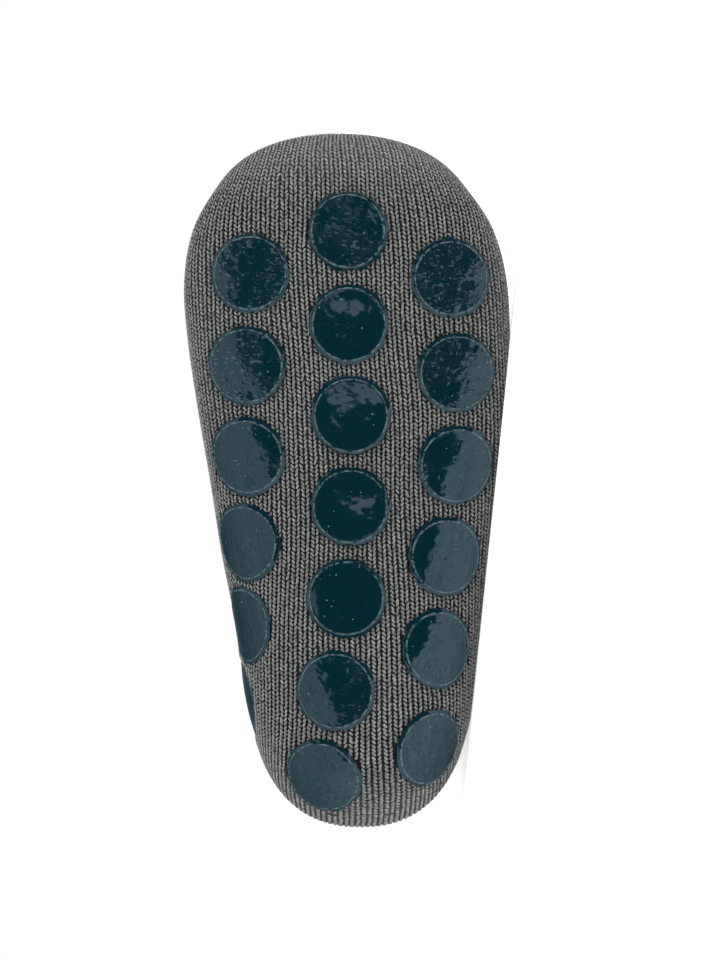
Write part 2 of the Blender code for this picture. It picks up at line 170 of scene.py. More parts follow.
# The sock's outside: u is the share of the girth from the middle of the sole round the outer side, measured
# along the surface, and v the place along the sock
def skin(u, v):
    samples = sock["girthSamples"]
    u, v = np.broadcast_arrays(np.asarray(u, float), np.asarray(v, float))
    shape = u.shape
    u, v = u.ravel() % 1, v.ravel()
    rows = sectionAt(v)
    turn = np.broadcast_to(np.linspace(0, 2 * math.pi, samples), (len(u), samples))
    step = np.linalg.norm(np.diff(sectionPoints(rows, turn), axis=1), axis=2)
    run = np.concatenate([np.zeros((len(u), 1)), np.cumsum(step, axis=1)], axis=1)
    wanted = u * run[:, -1]
    k = np.clip((run <= wanted[:, None]).sum(1) - 1, 0, samples - 2)
    n = np.arange(len(u))
    angle = turn[n, k] + (wanted - run[n, k]) / step[n, k] * (turn[0, 1] - turn[0, 0])
    return sectionPoints(rows, angle[:, None])[:, 0].reshape(*shape, 3)


def unit(vectors):
    return vectors / np.linalg.norm(vectors, axis=-1, keepdims=True)


def slopes(u, v):  # how the skin runs round and along, and its outward direction
    v = np.clip(v, seamRoom, rim - nudge)
    around = (skin(u + nudge, v) - skin(u - nudge, v)) / (2 * nudge)
    along = (skin(u, v + nudge) - skin(u, v - nudge)) / (2 * nudge)
    return around, along, unit(np.cross(along, around))


def smoothStep(x):
    x = np.clip(x, 0, 1)
    return x * x * (3 - 2 * x)


# Soft troughs where the instep bends at the ankle, and beside the heel
creases = {
    "runs": (
        # u     v      long  wide  deep, in mm
        (0.500, 13.6, 15.0, 1.9, 0.75),
        (0.460, 15.2, 12.0, 1.6, 0.50),
        (0.545, 14.9, 10.0, 1.5, 0.45),
        (0.310, 13.2, 9.0, 1.8, 0.45),
        (0.690, 13.1, 9.0, 1.8, 0.40),
    ),
    "ridge": 0.35,  # height of the low ridges beside a trough, as a share of its depth
    "ridgeAt": 2,  # how many times wide they lie from its middle
}


# Height over the skin: each crease is exp(-(across/wide)^2) along exp(-(run/long)^2) with low ridges beside
# it, and the cuff is a step with a cosine wave of ribs
def relief(u, v):
    height = np.zeros(np.broadcast(u, v).shape)
    for atU, atV, long, wide, deep in creases["runs"]:
        here = np.array([atU]), np.array([atV])
        around, along, _ = slopes(*here)
        girth, pitch = np.linalg.norm(around), np.linalg.norm(along)
        run = ((u - atU + 0.5) % 1 - 0.5) * girth / (long * mm)
        across = (v - atV) * pitch / (wide * mm)
        ridges = np.exp(-((abs(across) - creases["ridgeAt"]) ** 2))
        trough = np.exp(-(across**2)) - creases["ridge"] * ridges
        height = height - deep * mm * trough * np.exp(-(run**2))
    step = smoothStep((v - cuffStart) / sock["stepRun"] + 1)
    groove = 0.5 - 0.5 * np.cos(math.pi * u * sock["columns"])
    return height + step * (sock["cuffStep"] - sock["ribDepth"] * groove)


def furthest(points, direction):
    return points[np.argmax(points @ direction)]


# The plane under the sock, which touches ball, heel and cuff, found again from the part's own rings
def restingPlane():
    rings = np.sort(np.append(np.linspace(0, rim, 2 * rim + 1), cuffStart - sock["stepRun"]))
    v, u = np.meshgrid(rings, np.arange(sock["columns"]) / sock["columns"], indexing="ij")
    out = slopes(u, v)[2]
    groove = (np.arange(sock["columns"]) % 2)[None, :]
    lift = np.where(v >= cuffStart, sock["cuffStep"] - sock["ribDepth"] * groove, 0)
    points = (skin(u, v) + lift[..., None] * out).reshape(-1, 3)
    x, z = points[:, 0], points[:, 2]
    cuffBase = sock["legHeight"] - sock["cuffHeight"]
    zones = (
        x > sock["ballFrom"] * sock["footLength"],
        (x < sock["heelUpTo"] * sock["footLength"]) & (z < sock["instepHeight"]),
        z > cuffBase,
    )
    normal = np.array([0.0, 1.0, 0.0])
    for _ in range(sock["planeRounds"]):
        ball, heel, cuff = (furthest(points[zone], normal) for zone in zones)
        cuff = cuff - (sock["cuffPress"] - sock["sidePress"]) * normal
        normal = unit(np.cross(cuff - heel, ball - heel))
    distance = ball @ normal - sock["sidePress"]
    points -= np.maximum(points @ normal - distance, 0)[:, None] * normal
    toe = unit(np.array([1.0, 0, 0]) + normal[0] * -normal)
    turn = np.array([toe, np.cross(-normal, toe), -normal])
    cadBox = np.array(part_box("knit_sock")[0])
    shift = cadBox - (points @ turn.T).min(0)
    return normal, distance, turn, shift


floorNormal, floorDistance, turn, shift = restingPlane()
print("resting plane", np.round(turn, 4).tolist(), "shift mm", np.round(shift / mm, 2).tolist())


def placed(points):  # flattened where the floor is, then laid on the side as the part lies
    past = np.maximum(points @ floorNormal - floorDistance, 0)
    return (points - past[..., None] * floorNormal) @ turn.T + shift


# A mesh from arrays of points and of triangles or quads, with UVs and one number for each point
def makeMesh(name, points, faces, material, uv=None, shade=None):
    points, faces = points.reshape(-1, 3), np.asarray(faces)
    count, corners = faces.shape
    mesh = bpy.data.meshes.new(name)
    mesh.vertices.add(len(points))
    mesh.vertices.foreach_set("co", points.astype(np.float32).ravel())
    mesh.loops.add(count * corners)
    mesh.loops.foreach_set("vertex_index", faces.astype(np.int32).ravel())
    mesh.polygons.add(count)
    mesh.polygons.foreach_set("loop_start", np.arange(0, count * corners, corners, dtype=np.int32))
    mesh.polygons.foreach_set("use_smooth", np.ones(count, bool))
    mesh.update(calc_edges=True)
    if uv is not None:
        layer = mesh.uv_layers.new(name="UVMap")
        layer.data.foreach_set("uv", uv[faces.ravel()].astype(np.float32).ravel())
    if shade is not None:
        values = mesh.attributes.new("shade", "FLOAT", "POINT")
        values.data.foreach_set("value", shade.astype(np.float32).ravel())
    mesh.validate()
    mesh.materials.append(material)
    made = bpy.data.objects.new(name, mesh)
    bpy.context.scene.collection.objects.link(made)
    return made


def belongs(piece, slot, *nodes):
    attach(piece, "root")
    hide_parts(*nodes)
    return piece


# Materials
def linear(colour):  # sRGB hex to linear
    parts = [int(colour[k : k + 2], 16) / 255 for k in (1, 3, 5)]
    return tuple(c / 12.92 if c <= 0.04045 else ((c + 0.055) / 1.055) ** 2.4 for c in parts) + (1.0,)


def addNode(tree, kind, inputs=(), **settings):  # one node with its settings and inputs
    made = tree.nodes.new(kind)
    for key, value in settings.items():
        setattr(made, key, value)
    # inputs in their order or by name, each a value to set or another node's output to link
    for socket, given in inputs.items() if isinstance(inputs, dict) else enumerate(inputs):
        if isinstance(given, bpy.types.NodeSocket):
            tree.links.new(given, made.inputs[socket])
        else:
            made.inputs[socket].default_value = given
    return made


def newMaterial(name):
    material = bpy.data.materials.new(name)
    material.use_nodes = True
    return material, material.node_tree, material.node_tree.nodes["Principled BSDF"]


def setRamp(node, stops):
    ramp = node.color_ramp
    ramp.elements[0].position, ramp.elements[1].position = stops[0][0], stops[-1][0]
    ramp.elements[0].color, ramp.elements[1].color = linear(stops[0][1]), linear(stops[-1][1])
    for place, colour in stops[1:-1]:
        ramp.elements.new(place).color = linear(colour)


yarnLook = {
    "fibre": 0.45 * mm,  # length of a light or dark fleck of the melange
    "twist": 0.5 * mm,  # pitch of the two plies, drawn coarser than real so that it shows
    "twistHeight": 0.05 * mm,
    "bump": 0.8,
    "colours": ((0.22, "#4a4c4b"), (0.5, "#737674"), (0.85, "#919390")),  # from dark to light fibre
    "roughness": 0.9,
    "specular": 0.25,
    "sheen": (0.22, 0.6),  # weight and roughness
}


# Cotton melange yarn, ring spun from dyed grey and undyed fibre: matt and flecked, with a soft light edge
def melangeYarn():
    material, tree, shader = newMaterial("cotton melange yarn")
    place = addNode(tree, "ShaderNodeTexCoord").outputs
    shade = addNode(tree, "ShaderNodeAttribute", attribute_name="shade").outputs["Fac"]
    fleck = addNode(
        tree,
        "ShaderNodeTexNoise",
        {"Vector": place["Object"], "Scale": 1 / yarnLook["fibre"], "Detail": 2.0, "Roughness": 0.6},
    ).outputs["Fac"]
    mixed = addNode(tree, "ShaderNodeMath", (shade, fleck), operation="ADD").outputs[0]
    level = addNode(tree, "ShaderNodeMath", (mixed, 0.5), operation="SUBTRACT").outputs[0]
    ramp = addNode(tree, "ShaderNodeValToRGB", {"Fac": level})
    setRamp(ramp, yarnLook["colours"])
    tree.links.new(ramp.outputs["Color"], shader.inputs["Base Color"])
    axes = addNode(tree, "ShaderNodeSeparateXYZ", {"Vector": place["UV"]}).outputs
    ply = addNode(tree, "ShaderNodeMath", (axes[0], axes[1]), operation="ADD").outputs[0]
    phase = addNode(tree, "ShaderNodeMath", (ply, 2 * math.pi), operation="MULTIPLY").outputs[0]
    wave = addNode(tree, "ShaderNodeMath", (phase,), operation="SINE").outputs[0]
    rough = addNode(tree, "ShaderNodeMath", (wave, fleck), operation="ADD").outputs[0]
    bump = addNode(
        tree,
        "ShaderNodeBump",
        {"Strength": yarnLook["bump"], "Distance": yarnLook["twistHeight"], "Height": rough},
    ).outputs["Normal"]
    tree.links.new(bump, shader.inputs["Normal"])
    shader.inputs["Roughness"].default_value = yarnLook["roughness"]
    shader.inputs["Specular IOR Level"].default_value = yarnLook["specular"]
    for socket, value in zip(("Sheen Weight", "Sheen Roughness"), yarnLook["sheen"]):
        shader.inputs[socket].default_value = value
    return material


liningLook = {
    "outer": "#242525",  # painted shade of the holes between the stitches, seen only through them
    "loop": "#8b8c8b",
    "gap": "#525352",
    "loopSize": (1.0, 0.5),  # in wales and courses
    "gapWidth": 0.12,
    "bump": 0.3 * mm,
    "roughness": 0.95,
    "specular": 0.1,
}


# The back of the jersey, rows of half loops laid like bricks, and the painted shade of the holes. Its UVs
# count wales and courses
def jerseyBackAndHoleShade():
    material, tree, shader = newMaterial("jersey back, with painted shade in the holes")
    place = addNode(tree, "ShaderNodeTexCoord").outputs
    loop, gap = linear(liningLook["loop"]), linear(liningLook["gap"])
    wide, high = liningLook["loopSize"]
    loops = addNode(
        tree,
        "ShaderNodeTexBrick",
        {
            "Vector": place["UV"],
            "Scale": 1.0,
            "Mortar Size": liningLook["gapWidth"],
            "Mortar Smooth": 1.0,
            "Brick Width": wide,
            "Row Height": high,
            "Color1": loop,
            "Color2": loop,
            "Mortar": gap,
        },
        offset=0.5,
    ).outputs
    # where shade is 0 the colour is the dark painted shade of the holes, where it is 1 the loops
    inner = addNode(tree, "ShaderNodeAttribute", attribute_name="shade").outputs["Fac"]
    colour = addNode(
        tree, "ShaderNodeMix", {0: inner, 6: linear(liningLook["outer"]), 7: loops["Color"]}, data_type="RGBA"
    ).outputs[2]
    tree.links.new(colour, shader.inputs["Base Color"])
    height = addNode(tree, "ShaderNodeMath", (1.0, loops["Fac"]), operation="SUBTRACT").outputs[0]
    bump = addNode(
        tree, "ShaderNodeBump", {"Strength": 1.0, "Distance": liningLook["bump"], "Height": height}
    ).outputs["Normal"]
    tree.links.new(bump, shader.inputs["Normal"])
    shader.inputs["Roughness"].default_value = liningLook["roughness"]
    shader.inputs["Specular IOR Level"].default_value = liningLook["specular"]
    return material


siliconeLook = {
    "colour": "#011d25",
    # pale colour of dust, of the painted highlight along the rim, and of painted glints in the pits and scuff
    # marks
    "dustAndHighlight": "#8ba0a6",
    "ior": 1.43,
    "roughness": (0.055, 0.17),  # polished, and where it is dulled
    "coat": (0.25, 0.045),  # weight and roughness
    "bump": 0.06 * mm,
    # sizes of the patterns
    "patch": 4.5 * mm,  # a patch that is dulled and wrinkled
    "crumple": 0.85 * mm,
    "wrinkle": (0.5 * mm, 1.4 * mm),  # across and along a wrinkle, which runs over the foot
    "speck": 1.1 * mm,  # room round each pit or grain of dust
    "edgeGrain": 0.75 * mm,
    "bloom": 0.45 * mm,  # grain of the faint bloom on the cured face
    "detail": {"patch": 2.0, "crumple": 1.5, "edgeGrain": 1.0, "bloom": 3.0},
    # how much a pattern counts
    "wear": 0.42,  # how much a scuffed dot widens the patches
    "swell": (5.0, 1.2),  # how much the patches are raised, in bumps: more on a scuffed dot, and on each
    # how much of that pale colour lies in the pits, on the rim and in the scuff marks
    "dustAndHighlightShare": {"pit": 0.5, "edge": 0.36, "mark": 0.11},
    # levels of a pattern: where it starts and ends, and the results there
    "dulled": (0.58, 0.95, 0.0, 1.0),
    "pitReach": (0.6, 1.0, 0.0, 0.17),
    "pitEdge": (0.0, 0.06, 0.0, 1.0),
    "edgeRises": (0.872, 0.893, 0.0, 1.0),  # a pale line, a painted highlight and partly dust, lies on the rim between these shares of the radius
    "edgeFalls": (0.903, 0.925, 1.0, 0.0),
    "edgeBroken": (0.36, 0.66, 0.0, 1.0),
    "markDrawn": (1.13, 1.22, 0.0, 1.0),
    "markInPatch": (0.50, 0.80, 0.0, 1.0),
    "bloomed": (0.40, 0.75, 0.0, 0.012),
    "folded": (0.3, 1.0, 0.02, 1.6),
}


# Petrol silicone, screen printed in thick wet dots and cured: glossy and dark, its top wrinkled where it is
# scuffed, with a few pits. The pale broken line along the rim is a painted highlight and partly dust. Its UVs
# give the share of the radius
def printedSilicone():
    material, tree, shader = newMaterial("printed silicone")
    coordinates = addNode(tree, "ShaderNodeTexCoord").outputs
    place = coordinates["Object"]
    worn = addNode(tree, "ShaderNodeAttribute", attribute_name="shade").outputs["Fac"]
    share = addNode(tree, "ShaderNodeSeparateXYZ", {"Vector": coordinates["UV"]}).outputs[1]
    noise = {}
    for pattern, detail in siliconeLook["detail"].items():
        noise[pattern] = addNode(
            tree,
            "ShaderNodeTexNoise",
            {"Vector": place, "Scale": 1 / siliconeLook[pattern], "Detail": detail},
        ).outputs["Fac"]
    levels = {}

    # patches where the top is dulled
    near = addNode(
        tree, "ShaderNodeMath", (worn, siliconeLook["wear"], noise["patch"]), operation="MULTIPLY_ADD"
    ).outputs[0]
    # pits, with pale specks in them that are partly dust and partly painted glints, each in its own cell
    cell = addNode(
        tree, "ShaderNodeTexVoronoi", {"Vector": place, "Scale": 1 / siliconeLook["speck"], "Randomness": 1.0}
    ).outputs
    size = addNode(tree, "ShaderNodeSeparateXYZ", {"Vector": cell["Color"]}).outputs[0]
    # wrinkles over the foot, on top of the crumpled ground
    across, along = siliconeLook["wrinkle"]
    stretched = addNode(
        tree, "ShaderNodeMapping", {"Vector": place, "Scale": (1 / across, 1 / across, 1 / along)}
    ).outputs[0]
    wrinkle = addNode(
        tree, "ShaderNodeTexNoise", {"Vector": stretched, "Scale": 1.0, "Detail": 1.0}
    ).outputs["Fac"]
    folds = addNode(tree, "ShaderNodeMath", (wrinkle, noise["crumple"]), operation="ADD").outputs[0]
    for pattern, source in (
        ("dulled", near),
        ("pitReach", size),
        ("edgeRises", share),
        ("edgeFalls", share),
        ("edgeBroken", noise["edgeGrain"]),
        ("markDrawn", folds),
        ("bloomed", noise["bloom"]),
    ):
        levels[pattern] = addNode(tree, "ShaderNodeMapRange", (source, *siliconeLook[pattern])).outputs[0]
    inside = addNode(
        tree, "ShaderNodeMath", (levels["pitReach"], cell["Distance"]), operation="SUBTRACT"
    ).outputs[0]
    for pattern, source in (
        ("pitEdge", inside),
        ("markInPatch", levels["dulled"]),
        ("folded", levels["dulled"]),
    ):
        levels[pattern] = addNode(tree, "ShaderNodeMapRange", (source, *siliconeLook[pattern])).outputs[0]

    products = {}
    for product, first, second in (
        ("rim", levels["edgeRises"], levels["edgeFalls"]),
        ("mark", levels["markDrawn"], levels["markInPatch"]),
        ("raised", folds, levels["folded"]),
    ):
        products[product] = addNode(tree, "ShaderNodeMath", (first, second), operation="MULTIPLY").outputs[0]
    edge = addNode(
        tree, "ShaderNodeMath", (products["rim"], levels["edgeBroken"]), operation="MULTIPLY"
    ).outputs[0]

    # the pale colour: in the pits and scuff marks partly dust and partly painted glints, on the rim a painted
    # highlight and partly dust, and faint dust all over
    dustAndHighlight = levels["bloomed"]
    for pattern, source in (("pit", levels["pitEdge"]), ("edge", edge), ("mark", products["mark"])):
        faint = addNode(
            tree, "ShaderNodeMath", (source, siliconeLook["dustAndHighlightShare"][pattern]), operation="MULTIPLY"
        ).outputs[0]
        dustAndHighlight = addNode(tree, "ShaderNodeMath", (dustAndHighlight, faint), operation="MAXIMUM").outputs[0]
    colour = addNode(
        tree,
        "ShaderNodeMix",
        {0: dustAndHighlight, 6: linear(siliconeLook["colour"]), 7: linear(siliconeLook["dustAndHighlight"])},
        data_type="RGBA",
    ).outputs[2]
    tree.links.new(colour, shader.inputs["Base Color"])
    dull = addNode(
        tree, "ShaderNodeMapRange", (levels["dulled"], 0.0, 1.0, *siliconeLook["roughness"])
    ).outputs[0]
    tree.links.new(dull, shader.inputs["Roughness"])

    # the height: wrinkles, pits and rim, on top of patches that swell with wear
    height = products["raised"]
    for source in (edge, levels["pitEdge"]):
        height = addNode(tree, "ShaderNodeMath", (height, source), operation="ADD").outputs[0]
    swell = addNode(
        tree, "ShaderNodeMath", (worn, *siliconeLook["swell"]), operation="MULTIPLY_ADD"
    ).outputs[0]
    height = addNode(
        tree, "ShaderNodeMath", (noise["patch"], swell, height), operation="MULTIPLY_ADD"
    ).outputs[0]
    bump = addNode(
        tree, "ShaderNodeBump", {"Strength": 1.0, "Distance": siliconeLook["bump"], "Height": height}
    ).outputs["Normal"]
    tree.links.new(bump, shader.inputs["Normal"])
    tree.links.new(bump, shader.inputs["Coat Normal"])
    shader.inputs["IOR"].default_value = siliconeLook["ior"]
    for socket, value in zip(("Coat Weight", "Coat Roughness"), siliconeLook["coat"]):
        shader.inputs[socket].default_value = value
    return material


yarn, back, silicone = melangeYarn(), jerseyBackAndHoleShade(), printedSilicone()

# The grip dots, printed in three columns on the flat sock
dots = {
    "diameter": 16.7 * mm,
    "space": 2.5 * mm,  # bare knit between the rims in a column
    "columnSpace": 5.1 * mm,
    "rimHeight": 0.40 * mm,  # over the skin
    "height": 1.15 * mm,
    "bevel": 0.85 * mm,
    "root": -0.35 * mm,  # the silicone reaches down between the stitches
    "wave": 0.022 * mm,
    "lip": 0.035 * mm,  # the edge of the print cures a little proud
    "ragged": 0.15 * mm,  # the stitches make the rim uneven
    "lobes": 56,  # one for each stitch round the rim
    "sides": 168,
    "steps": 10,  # walked from the centre to the rim
    # sine waves over the top: radians in a radius along and across the foot, and how strong
    "ripples": ((4.1, 2.3, 1.0), (-2.9, 3.4, 1.0), (0.0, 7.0, 0.5)),
    "inner": (0.10, 0.21, 0.32, 0.43, 0.54, 0.65, 0.74, 0.81),  # rings of the top, shares of the radius
    "bevelRings": (0.0, 0.12, 0.25, 0.4, 0.55, 0.7, 0.83, 0.93, 1.0),
    "lipRings": (0.04, 0.02),  # this far inside the bevel
    "lipWide": 0.018,
    "lipUneven": 0.6,
    "foot": 0.97,  # share of the radius where the side ends under the knit
    "places": (
        # name, pitches from the heel's back, pitches round from the middle line, how scuffed, the lean of the
        # top toward the toe in degrees (None leaves it along the skin), then dome and how far sunk, in mm
        ("inner_1", 6.06, -0.92, 0.95, None, 0.30, 0.0),
        ("inner_2", 5.04, -1.01, 1.0, None, 0.30, 0.0),
        ("inner_3", 4.02, -1.06, 0.45, None, 0.30, 0.0),
        ("inner_4", 2.97, -1.15, 0.2, None, 0.30, 0.3),
        ("inner_5", 1.80, -1.34, 0.2, None, 0.30, 0.6),
        ("inner_6", 0.49, -1.71, 0.2, None, 0.30, 0.95),
        ("middle_1", 6.49, 0.03, 0.75, -1.2, 0.30, 0.0),
        ("middle_2", 5.48, 0.00, 0.15, -0.8, 0.30, 0.0),
        ("middle_3", 4.49, -0.04, 0.2, 0.5, 0.30, 0.0),
        ("middle_4", 3.50, -0.07, 0.25, 0.8, 0.22, 0.0),
        ("middle_5", 2.50, -0.12, 0.15, -2.5, 0.30, 0.0),
        ("middle_6", 1.48, -0.24, 0.55, None, 0.30, 0.0),
        ("middle_7", 0.50, -0.37, 0.3, None, 0.30, 0.0),
        ("outer_1", 6.01, 1.00, 0.95, None, 0.30, 0.0),
        ("outer_2", 4.96, 1.00, 0.8, None, 0.30, 0.0),
        ("outer_3", 3.93, 0.96, 0.5, None, 0.30, 0.0),
        ("outer_4", 2.88, 0.86, 0.3, None, 0.30, 0.0),
        ("outer_5", 1.80, 0.80, 0.25, None, 0.30, 0.0),
        ("outer_6", 0.66, 0.74, 0.25, None, 0.30, 0.1),
    ),
}


def placeOnSole(row, side):  # u and v of a printed place
    v = np.linspace(toeTip, heelBack, sock["soleSamples"])
    along = row * (dots["diameter"] + dots["space"])
    place = float(np.interp(-along, -sectionAt(v)[:, 0], v))
    ring = skin(np.linspace(0, 1, sock["girthSamples"]), place)
    girth = np.linalg.norm(np.diff(ring, axis=0), axis=1).sum()
    return side * (dots["diameter"] + dots["columnSpace"]) / girth, place


# Rings of places round a centre at equal steps, walked along the surface in each direction
def discOnSkin(u, v, radius):
    _, along, out = (s[0] for s in slopes(np.array([u]), np.array([v])))
    first = unit(along)
    angles = np.arange(dots["sides"]) * 2 * math.pi / dots["sides"]
    heading = np.cos(angles)[:, None] * first + np.sin(angles)[:, None] * np.cross(out, first)
    us, vs = np.full(dots["sides"], float(u)), np.full(dots["sides"], float(v))
    places = [(us, vs)]
    step = radius / dots["steps"]
    for _ in range(dots["steps"]):
        around, along, out = slopes(us, vs)
        heading = unit(heading - (heading * out).sum(1, keepdims=True) * out)
        aa, ab, bb = (around * around).sum(1), (around * along).sum(1), (along * along).sum(1)
        ha, hb = (heading * around).sum(1) * step, (heading * along).sum(1) * step
        us = us + (ha * bb - hb * ab) / (aa * bb - ab * ab)
        vs = vs + (hb * aa - ha * ab) / (aa * bb - ab * ab)
        places.append((us, vs))
    return np.array(places)  # (steps + 1, 2, sides)


def lobesRound(angles):  # a value for each stitch round the rim, joined by straight lines
    at = np.linspace(0, 2 * math.pi, dots["lobes"], endpoint=False)
    return np.interp(angles, at, rng.normal(0, 1, dots["lobes"]), period=2 * math.pi)


# The profile of a dot, as shares of the radius and heights: flat, then a bevel that is a quarter of an
# ellipse, and a short side. The rim of a sunk dot goes down half as far as its top
def dotProfile(sunk):
    flat = 1 - dots["bevel"] / (dots["diameter"] / 2)
    down = np.array(dots["bevelRings"])
    edge = flat - np.array(dots["lipRings"])
    shares = np.concatenate([dots["inner"], edge, flat + (1 - flat) * down, [1.0, dots["foot"]]])
    top, rimHeight = dots["height"] - sunk * mm, dots["rimHeight"] - sunk * mm / 2
    bevel = top - (top - rimHeight) * (1 - np.sqrt(1 - down**2))
    level = np.full(len(dots["inner"]) + len(edge), top)
    return flat, top, rimHeight, shares, np.concatenate([level, bevel, [rimHeight / 3, dots["root"]]])


# Over the profile the top is a low dome, less dome times r squared, with a proud lip at its edge, sine waves
# across it, and a slant that gives it the wanted lean
def gripDot(name, row, side, scuff, lean, dome, sunk):
    radius = dots["diameter"] / 2
    disc = discOnSkin(*placeOnSole(row, side), radius)
    flat, top, rimHeight, shares, heights = dotProfile(sunk)
    phases = rng.uniform(0, 2 * math.pi, len(dots["ripples"]))
    at = shares * dots["steps"]
    low = np.clip(at.astype(int), 0, dots["steps"] - 1)
    part = (at - low)[:, None, None]
    places = disc[low] * (1 - part) + disc[low + 1] * part
    angles = np.arange(dots["sides"]) * 2 * math.pi / dots["sides"]
    room = dots["lipRings"][-1]
    toEdge = smoothStep((shares - flat + room) / (1 - flat + room))[:, None]
    grow = 1 + toEdge * dots["ragged"] / radius * lobesRound(angles)
    centre = disc[0][:, :1]
    places = centre[None] + (places - centre[None]) * grow[:, None, :]
    x = shares[:, None] * np.cos(angles)
    y = shares[:, None] * np.sin(angles)
    waves, middleWave = 0, 0
    for (fastX, fastY, strength), phase in zip(dots["ripples"], phases):
        waves = waves + strength * np.sin(fastX * x + fastY * y + phase)
        middleWave += strength * math.sin(phase)
    out = slopes(*centre)[2]
    tilt = 0 if lean is None else math.atan2(out[0, 0], -out[0, 2]) - math.radians(lean)
    # the first angle points along the foot away from the toe, so a slant down to it leans toward it
    slant = -math.tan(tilt) * radius * x
    onTop = smoothStep((heights - rimHeight) / (top - rimHeight))[:, None]
    lip = np.exp(-(((shares - flat) / dots["lipWide"]) ** 2))[:, None]
    lip = lip * (1 + dots["lipUneven"] * lobesRound(angles))
    lift = heights[:, None] + onTop * (dots["wave"] * waves - dome * mm * shares[:, None] ** 2 + slant)
    lift = lift + dots["lip"] * lip
    us, vs = places[:, 0], places[:, 1]
    points = skin(us, vs) + lift[..., None] * slopes(us, vs)[2]
    ends = skin(*centre) + np.array([[top + dots["wave"] * middleWave], [dots["root"]]]) * out
    rings, sides = points.shape[:2]
    own, nextOne = np.arange(sides), (np.arange(sides) + 1) % sides
    start = (np.arange(rings - 1) * sides)[:, None]
    a, b = start + own, start + nextOne
    walls = np.stack([a, a + sides, b + sides, b], axis=-1).reshape(-1, 4)
    middle, bottom = rings * sides, rings * sides + 1
    last = (rings - 1) * sides
    caps = [
        np.stack([np.full(sides, middle), own, nextOne], 1),
        np.stack([np.full(sides, bottom), last + nextOne, last + own], 1),
    ]
    triangles = np.vstack([walls[:, [0, 1, 2]], walls[:, [0, 2, 3]], *caps])
    everything = np.vstack([points.reshape(-1, 3), ends])
    reached = np.concatenate([np.repeat(shares, sides), [0, 1]])
    uv = np.stack([np.zeros(len(reached)), reached], axis=1)
    worn = np.full(len(everything), scuff)
    made = makeMesh(f"silicone_dot_{name}", placed(everything), triangles, silicone, uv, worn)
    return belongs(made, "petrol_silicone", f"grip_dot_{name}"), skin(*centre)[0]


dotCentres = np.array([gripDot(*place)[1] for place in dots["places"]])
print("grip dots", len(dotCentres))

# The knit
knit = {
    "wales": 84,
    "course": 0.87 * mm,
    "gore": 0.5,  # share of the way from the waist to the cuff where the heel's short rows meet
    "legThick": 0.48 * mm,
    "sink": 0.05 * mm,  # the legs' centres lie this far under the skin
    "bow": 0.14 * mm,  # the middle of a leg stands out of its ends by this much
    "liningDepth": 0.27 * mm,
    # where the toe and the heel's turn are knitted closer, and how much wider and thinner the legs are there
    "closeToe": (3.5, 5.5),  # the toe's close knit eases off between these v
    "closeHeel": (11.8, 14.5),  # and the heel's begins and ends to ease off at these
    "closeDepth": 0.10 * mm,
    "closeWide": 0.14,
    "closeThick": -0.35,
    # how far the painted shade in the holes is lifted toward the loops' colour where the knit is closer
    "closeHoleShadeLift": 0.30,
    "sideHoleShadeLift": (0.20, 0.13, 0.23),  # lifted this far beside the sole, from the first to the second share of the girth
    # centre across, lean across and width in wales, and length along in courses
    "left": (-0.24, 0.36, 0.24, 1.08),
    "right": (0.245, -0.26, 0.24, 1.22),
    "purlLeft": (-0.25, 0.62, 0.26, 0.35),
    "purlRight": (0.25, 0.62, 0.26, -0.35),
    "sway": (0.0010, 5, 3.1),  # how far as a share of the girth, times round the sock, radians for each v
    "jitter": 0.05 * mm,
    "shade": 0.07,  # how much one leg's tone differs from another's
    "wideVaries": 0.06,
    "usualWale": 2 * mm,  # on narrower wales the legs are thinner, down to the first of these shares
    "thickBounds": (0.6, 1.1),
    "samples": 12,  # places along each section at which the wales are measured
    "mostCourses": 400,
    "endRoom": (0.3, 0.2),  # in courses, at the toe seam and the rim
    "legSides": 5,
}


# How closely the sock is knitted at v: 1 at the toe and round the heel's turn, 0 elsewhere
def closeKnit(v):
    full, gone = knit["closeToe"]
    start, end = knit["closeHeel"]
    toe = 1 - smoothStep((v - full) / (gone - full))
    return toe + smoothStep(v - start) * (1 - smoothStep(v - end))


# Where the stitches lie. Each wale is measured along the surface. From the waist the courses run forward to
# the toe seam and back to the gore, and from the cuff down to the gore and up to the rim
def stitchPlaces():
    v = np.linspace(0, rim, rim * knit["samples"] + 1)
    wale = (np.arange(knit["wales"]) + 0.5) / knit["wales"]
    path = skin(wale[:, None], v[None, :])
    run = np.linalg.norm(np.diff(path, axis=1), axis=2).cumsum(axis=1)
    run = np.hstack([np.zeros((knit["wales"], 1)), run])
    atWaist, atCuff = run[:, waist * knit["samples"]], run[:, cuffStart * knit["samples"]]
    gore = atWaist + knit["gore"] * (atCuff - atWaist)
    h = knit["course"]
    atSeam, atRim = (h * room for room in knit["endRoom"])
    found = []
    for start, sign, low, high in (
        (atWaist, -1, np.full_like(gore, atSeam), atWaist),
        (atWaist, 1, atWaist, gore),
        (atCuff, -1, gore, atCuff),
        (atCuff, 1, atCuff, run[:, -1] - atRim),
    ):
        n = np.arange(knit["mostCourses"])
        s = start[:, None] + sign * h * (n + 0.5)
        inside = (s > low[:, None]) & (s < high[:, None])
        for k in range(knit["wales"]):
            own = s[k][inside[k]]
            found.append(np.stack([np.full(len(own), wale[k]), np.interp(own, run[k], v)], 1))
    return np.vstack(found)


